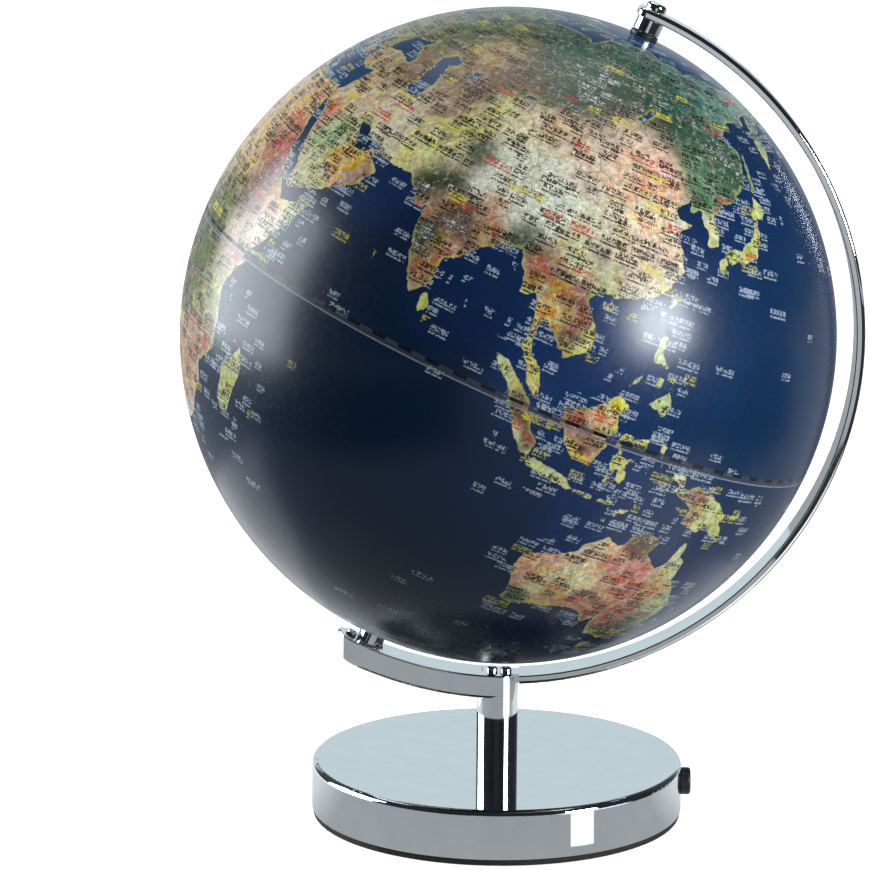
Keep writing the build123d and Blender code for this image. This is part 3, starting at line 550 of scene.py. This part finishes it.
def product(tree, *values):
    result = values[0]
    for value in values[1:]:
        result = calc(tree, "MULTIPLY", result, value)
    return result


# Degrees taken by one small block of a mark, by one sign of several blocks, and by one piece of
# the fine line under them.
BLOCK_W = 0.27
BLOCK_H = 0.25
SIGN_W = 0.92
FINE_W = 0.2


def marks(tree, lon, lat, row_h, col_w, seed, density):
    """Illegible place marks: a row of small blocks over a fine broken line, along parallels."""
    rows = calc(tree, "DIVIDE", lat, row_h)
    row = calc(tree, "FLOOR", rows)
    up = calc(tree, "FRACT", rows)
    row_angle = calc(tree, "MULTIPLY", calc(tree, "ADD", row, 0.5), math.radians(row_h))
    shift, _ = white(tree, row, seed, 3.5)
    columns = calc(tree, "DIVIDE", calc(tree, "MULTIPLY", lon, calc(tree, "COSINE", row_angle)), col_w)
    columns = calc(tree, "ADD", columns, calc(tree, "MULTIPLY", shift, 9))
    column = calc(tree, "FLOOR", columns)
    across = calc(tree, "FRACT", columns)
    _, dice = white(tree, column, row, seed)
    split = node(tree, "ShaderNodeSeparateColor")
    tree.links.new(dice, split.inputs[0])
    present = calc(tree, "LESS_THAN", split.outputs[0], density)
    length = calc(tree, "ADD", calc(tree, "MULTIPLY", split.outputs[1], 0.55), 0.38)
    within = calc(tree, "LESS_THAN", across, length)
    along = calc(tree, "MULTIPLY", across, col_w)
    block_x = calc(tree, "FLOOR", calc(tree, "DIVIDE", along, BLOCK_W))
    block_y = calc(tree, "FLOOR", calc(tree, "MULTIPLY", up, row_h / BLOCK_H))
    column_seed = calc(tree, "ADD", calc(tree, "MULTIPLY", column, 41.0), block_x)
    row_seed = calc(tree, "ADD", calc(tree, "MULTIPLY", row, 23.0), block_y)
    ink, _ = white(tree, column_seed, row_seed, seed + 5)
    ink = calc(tree, "GREATER_THAN", ink, 0.36)
    gap = calc(tree, "LESS_THAN", calc(tree, "FRACT", calc(tree, "DIVIDE", along, SIGN_W)), 0.86)
    upper = product(tree, between(tree, up, 0.42, 0.86), ink, gap)
    fine, _ = white(tree, calc(tree, "FLOOR", calc(tree, "DIVIDE", along, FINE_W)), row_seed, seed + 9)
    lower = product(tree, between(tree, up, 0.13, 0.29), calc(tree, "GREATER_THAN", fine, 0.22))
    mask = product(tree, present, within, calc(tree, "MAXIMUM", upper, lower))
    return mask, split.outputs[2]


def print_colour(tree):
    """The map: sea, broken land colours, shore line, borders and place marks."""
    shore = attribute(tree, "shore", "Fac")
    lon, lat = globe_place(tree)
    wander = calc(tree, "MULTIPLY", calc(tree, "SUBTRACT", noise(tree, 320, 4, 0.65), 0.5), 1.3)
    edge = calc(tree, "ADD", shore, wander)
    on_land = spread(tree, edge, -0.05, 0.08, 0, 1)

    hue = node(tree, "ShaderNodeHueSaturation")
    tree.links.new(attribute(tree, "land", "Color"), hue.inputs["Color"])
    tree.links.new(spread(tree, noise(tree, 260, 5, 0.7), 0.34, 0.66, 0.455, 0.545), hue.inputs["Hue"])
    tree.links.new(spread(tree, noise(tree, 200, 5, 0.65), 0.34, 0.66, 0.6, 1.12),
                   hue.inputs["Saturation"])
    tree.links.new(spread(tree, noise(tree, 560, 6, 0.8), 0.34, 0.66, 0.45, 1.45), hue.inputs["Value"])
    land = hue.outputs["Color"]
    dark_patch = spread(tree, noise(tree, 250, 6, 0.75), 0.52, 0.62, 0, 0.6)
    land = mix(tree, dark_patch, land, mix(tree, 0.65, land, tone("2c2a20"), "MULTIPLY"))
    warm_patch = spread(tree, noise(tree, 110, 5, 0.7), 0.58, 0.72, 0, 0.35)
    land = mix(tree, warm_patch, land, tone("a0643c"))
    light_patch = spread(tree, noise(tree, 340, 6, 0.75), 0.53, 0.62, 0, 0.75)
    land = mix(tree, light_patch, land, mix(tree, 0.45, land, tone("f0e8c4")))
    coast_strip = spread(tree, edge, 0.0, 0.7, 0.5, 0.0)
    land = mix(tree, coast_strip, land, tone("c4c87c"))

    bend = node(tree, "ShaderNodeTexNoise")
    bend.inputs["Scale"].default_value = 60
    place = node(tree, "ShaderNodeTexCoord").outputs["Object"]
    tree.links.new(place, bend.inputs["Vector"])
    bent = vector_calc(tree, "MULTIPLY", bend.outputs["Color"], (0.03, 0.03, 0.03))
    border_cells = node(tree, "ShaderNodeTexVoronoi", feature="DISTANCE_TO_EDGE")
    border_cells.inputs["Scale"].default_value = 34
    tree.links.new(vector_calc(tree, "ADD", place, bent), border_cells.inputs["Vector"])
    border = spread(tree, border_cells.outputs["Distance"], 0.006, 0.014, 0.4, 0)
    land = mix(tree, border, land, tone("54463c"))

    sea = mix(tree, spread(tree, noise(tree, 40, 4, 0.6), 0.35, 0.65, 0, 0.25),
              attribute(tree, "sea", "Color"), tone("10182a"))
    colour = mix(tree, on_land, sea, land)

    bright = node(tree, "ShaderNodeRGBToBW")
    tree.links.new(land, bright.inputs[0])
    pale_ink = spread(tree, bright.outputs[0], 0.05, 0.1, 1, 0)
    near_shore = spread(tree, edge, -7, -1.2, 0.02, 0.36)
    for seed, row_h, col_w, land_share in ((1.0, 2.1, 5.4, 0.6), (12.0, 1.75, 4.3, 0.4)):
        share = mix_value(tree, on_land, near_shore, land_share)
        mask, dice = marks(tree, lon, lat, row_h, col_w, seed, share)
        ink = mix(tree, pale_ink, tone("141210"), tone("d8dcd4"))
        ink = mix(tree, calc(tree, "LESS_THAN", dice, 0.05), ink, tone("c03a2c"))
        ink = mix(tree, calc(tree, "GREATER_THAN", dice, 0.94), ink, tone("dcc83c"))
        sea_ink = mix(tree, calc(tree, "GREATER_THAN", dice, 0.88), tone("b8c4d0"), tone("c8c050"))
        ink = mix(tree, on_land, sea_ink, ink)
        colour = mix(tree, product(tree, mask, mix_value(tree, on_land, 0.6, 0.85)), colour, ink)
    return colour, lon, lat


def mix_value(tree, factor, a, b):
    """Number a at factor 0 and number b at factor 1."""
    part_a = calc(tree, "MULTIPLY", calc(tree, "SUBTRACT", 1.0, factor), a)
    return calc(tree, "ADD", part_a, calc(tree, "MULTIPLY", factor, b))


def lacquer(tree, bsdf):
    """Satin lacquer, slightly uneven."""
    fine = noise(tree, 500, 3, 0.5)
    tree.links.new(spread(tree, fine, 0.3, 0.7, 0.24, 0.29), bsdf.inputs["Roughness"])
    bsdf.inputs["Specular IOR Level"].default_value = 0.34


def print_material():
    mat, tree, bsdf = new_material("globe_print")
    colour, _, _ = print_colour(tree)
    tree.links.new(colour, bsdf.inputs["Base Color"])
    lacquer(tree, bsdf)
    return mat


def tape_material():
    """The printed strip over the joint: dashes on its north half, a pale line along its south edge."""
    mat, tree, bsdf = new_material("equator_tape")
    colour, lon, lat = print_colour(tree)
    colour = mix(tree, 0.3, colour, tone("565a64"))
    dash = calc(tree, "LESS_THAN", calc(tree, "FRACT", calc(tree, "DIVIDE", lon, 5.0)), 0.5)
    upper = calc(tree, "GREATER_THAN", lat, 0.12)
    colour = mix(tree, product(tree, upper, 0.7), colour, tone("3c3c42"))
    colour = mix(tree, product(tree, upper, dash, 0.92), colour, tone("08080a"))
    colour = mix(tree, product(tree, between(tree, lat, -0.66, -0.42), 0.75), colour, tone("8c9098"))
    tree.links.new(colour, bsdf.inputs["Base Color"])
    lacquer(tree, bsdf)
    return mat


PRINT = print_material()
north = revolved("globe_print_north", shell_profile(1, NORTH_HOLE), PRINT)
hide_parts("globe_north_shell")
south = revolved("globe_print_south", shell_profile(-1, SOUTH_HOLE), PRINT,
                 south=True)
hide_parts("globe_south_shell")
tape_edge = TAPE_HALF - 0.00002
tape_profile = [(TAPE_IN, -tape_edge)]
tape_profile += [(TAPE_OUT, tape_edge * k / 3) for k in range(-3, 4)]
tape_profile += [(TAPE_IN, tape_edge)]
tape = revolved("equator_strip", tape_profile, tape_material())
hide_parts("equator_tape")


# ------------------------------------------------------------------ floor and light
RIM_R = 0.0722
NEAR = 0.17


def stage_sheet(name, corners, height, mat):
    """Flat sheet lying at a height, used only to light the object."""
    mesh = bpy.data.meshes.new(name)
    mesh.from_pydata([(x, y, 0) for x, y in corners], [], [tuple(range(len(corners)))])
    mesh.materials.append(mat)
    obj = bpy.data.objects.new(name, mesh)
    bpy.context.scene.collection.objects.link(obj)
    obj.location.z = height
    return obj


def plain_glow(name, colour=(0, 0, 0)):
    """Sheet that only gives off light."""
    mat, tree, bsdf = new_material(name)
    bsdf.inputs["Base Color"].default_value = (0, 0, 0, 1)
    bsdf.inputs["Roughness"].default_value = 1.0
    bsdf.inputs["Specular IOR Level"].default_value = 0.0
    bsdf.inputs["Emission Color"].default_value = (*colour, 1.0)
    bsdf.inputs["Emission Strength"].default_value = 1.0
    return mat


def graded_glow(name, stops, low, high):
    """Sheet that only gives off light, its tone running along the world's Y axis."""
    mat = plain_glow(name)
    tree = mat.node_tree
    split = node(tree, "ShaderNodeSeparateXYZ")
    tree.links.new(node(tree, "ShaderNodeTexCoord").outputs["Object"], split.inputs[0])
    colour = ramp(tree, spread(tree, split.outputs["Y"], low, high, 0, 1), stops)
    tree.links.new(colour, tree.nodes["Principled BSDF"].inputs["Emission Color"])
    return mat


def ray(radius, azimuth):
    """Floor point at that distance; the azimuth starts at the front and grows towards +X."""
    a = math.radians(azimuth)
    return radius * math.sin(a), -radius * math.cos(a)


def sector(near, far, start, end):
    """Corners of a floor patch between two distances and two azimuths."""
    return [ray(near, start), ray(far, start), ray(far, end), ray(near, end)]


def beside_rim(azimuth, away):
    """Floor point that the base's side shows at that azimuth, so far from the rim."""
    x, y = ray(RIM_R, azimuth)
    step_x, step_y = ray(away, 2 * azimuth)
    return x + step_x, y + step_y


# White floor as the camera sees it, with the object's own soft shadow. Its own glow is painted light that
# whitens it; the glow is weaker near the base, a painted shade around the base.
floor_mat, floor_tree, floor_bsdf = new_material("floor")
floor_bsdf.inputs["Base Color"].default_value = (0.9, 0.9, 0.9, 1)
floor_bsdf.inputs["Roughness"].default_value = 1.0
floor_bsdf.inputs["Specular IOR Level"].default_value = 0.0
reach = vector_calc(floor_tree, "LENGTH", node(floor_tree, "ShaderNodeTexCoord").outputs["Object"],
                    (0, 0, 0), "Value")
# Painted light and shade: the floor's glow rises from 0.72 beside the base to 1 far away, so the floor is
# painted darker around the base.
floor_tree.links.new(ramp(floor_tree, spread(floor_tree, reach, 0.1, 0.9, 0, 1),
                          [(0.0, (0.72, 0.72, 0.72)), (1.0, (1, 1, 1))]),
                     floor_bsdf.inputs["Emission Color"])
floor_bsdf.inputs["Emission Strength"].default_value = 1.0


def square(half):
    return [(-half, -half), (half, -half), (half, half), (-half, half)]


floor = stage_sheet("floor", square(8), -0.0002, floor_mat)
floor.visible_glossy = False
floor.visible_diffuse = False

# The table as polished surfaces see it: grey, lighter beside and behind the base, with white and
# black sheets on it that the chrome shows as its stripes.
GREY = (0.34, 0.36, 0.375)
table_mat = graded_glow("table", [
    (0.0, (0.50, 0.53, 0.55)), (0.32, (0.44, 0.465, 0.48)), (0.52, (0.40, 0.42, 0.435)),
    (0.62, (0.37, 0.39, 0.405)), (0.76, GREY), (1.0, (0.36, 0.38, 0.40))], low=-2.0, high=0.5)
near_mat = graded_glow("near_table", [
    (0.0, GREY), (0.43, (0.385, 0.41, 0.43)), (0.56, (0.68, 0.725, 0.76)),
    (0.65, (0.76, 0.81, 0.85)), (1.0, (0.78, 0.83, 0.87))], low=-NEAR, high=NEAR)
sheet_mat = plain_glow("bounce", (1.2, 1.23, 1.25))
shade_mat = plain_glow("shade", (0.03, 0.032, 0.035))
table = stage_sheet("table", square(8), -0.0005, table_mat)
bounces = [
    stage_sheet("near_table", square(NEAR), -0.0004, near_mat),
    stage_sheet("bounce_right", sector(0.15, 0.44, 33, 72), -0.0003, sheet_mat),
    stage_sheet("bounce_left", sector(0.18, 0.44, -90, -150), -0.0003, sheet_mat),
    stage_sheet("bounce_rim", [beside_rim(23.3, 0.02), beside_rim(23.3, 0.115),
                               beside_rim(31.2, 0.115), beside_rim(31.2, 0.02)],
                -0.0003, sheet_mat),
    stage_sheet("shade_left", sector(0.48, 4.0, -14, -88), -0.0003, shade_mat),
    stage_sheet("shade_right", sector(0.48, 4.0, 15, 110), -0.0003, shade_mat),
]
for sheet in [table] + bounces:
    sheet.visible_camera = False
    sheet.visible_shadow = False
    sheet.visible_diffuse = False


def area(name, direction, distance, size_x, size_y, power, color=(1, 1, 1)):
    """Rectangular lamp that faces the ball's centre from a direction and a distance."""
    data = bpy.data.lights.new(name, "AREA")
    data.shape = "RECTANGLE"
    data.size = size_x
    data.size_y = size_y
    data.energy = power
    data.color = color
    obj = bpy.data.objects.new(name, data)
    bpy.context.scene.collection.objects.link(obj)
    away = Vector(direction).normalized()
    obj.location = CENTRE + away * distance
    obj.rotation_mode = "QUATERNION"
    obj.rotation_quaternion = away.to_track_quat("Z", "Y")
    return obj


area("key_right", (0.785, -0.593, 0.185), 2.05, 0.7, 0.54, 47, (0.95, 1.0, 1.04))
area("key_left", (-0.97, 0.19, 0.14), 1.7, 1.35, 1.65, 60, (0.93, 1.0, 1.05))
area("top", (0.05, 0.35, 0.94), 2.0, 1.6, 1.2, 9)

# Studio room: white backdrop for the camera; what surfaces reflect is light behind the globe
# and black in front of it.
world = bpy.data.worlds.new("world")
bpy.context.scene.world = world
world.use_nodes = True
sky = world.node_tree
background = sky.nodes["Background"]
direction = node(sky, "ShaderNodeSeparateXYZ")
sky.links.new(node(sky, "ShaderNodeTexCoord").outputs["Generated"], direction.inputs[0])
depth = ramp(sky, spread(sky, direction.outputs["Y"], -1, 1, 0, 1),
             [(0.0, (0.03, 0.032, 0.034)), (0.05, (0.012, 0.014, 0.016)), (0.2, (0.02, 0.024, 0.027)),
              (0.7, (0.02, 0.024, 0.03)), (0.9, (0.06, 0.07, 0.08)), (0.932, (0.24, 0.27, 0.3)),
              (0.955, (0.66, 0.75, 0.80)), (0.975, (0.60, 0.71, 0.76))])
seen = node(sky, "ShaderNodeLightPath").outputs["Is Camera Ray"]
sky.links.new(mix(sky, seen, depth, (1, 1, 1, 1)), background.inputs["Color"])
background.inputs["Strength"].default_value = 1.0
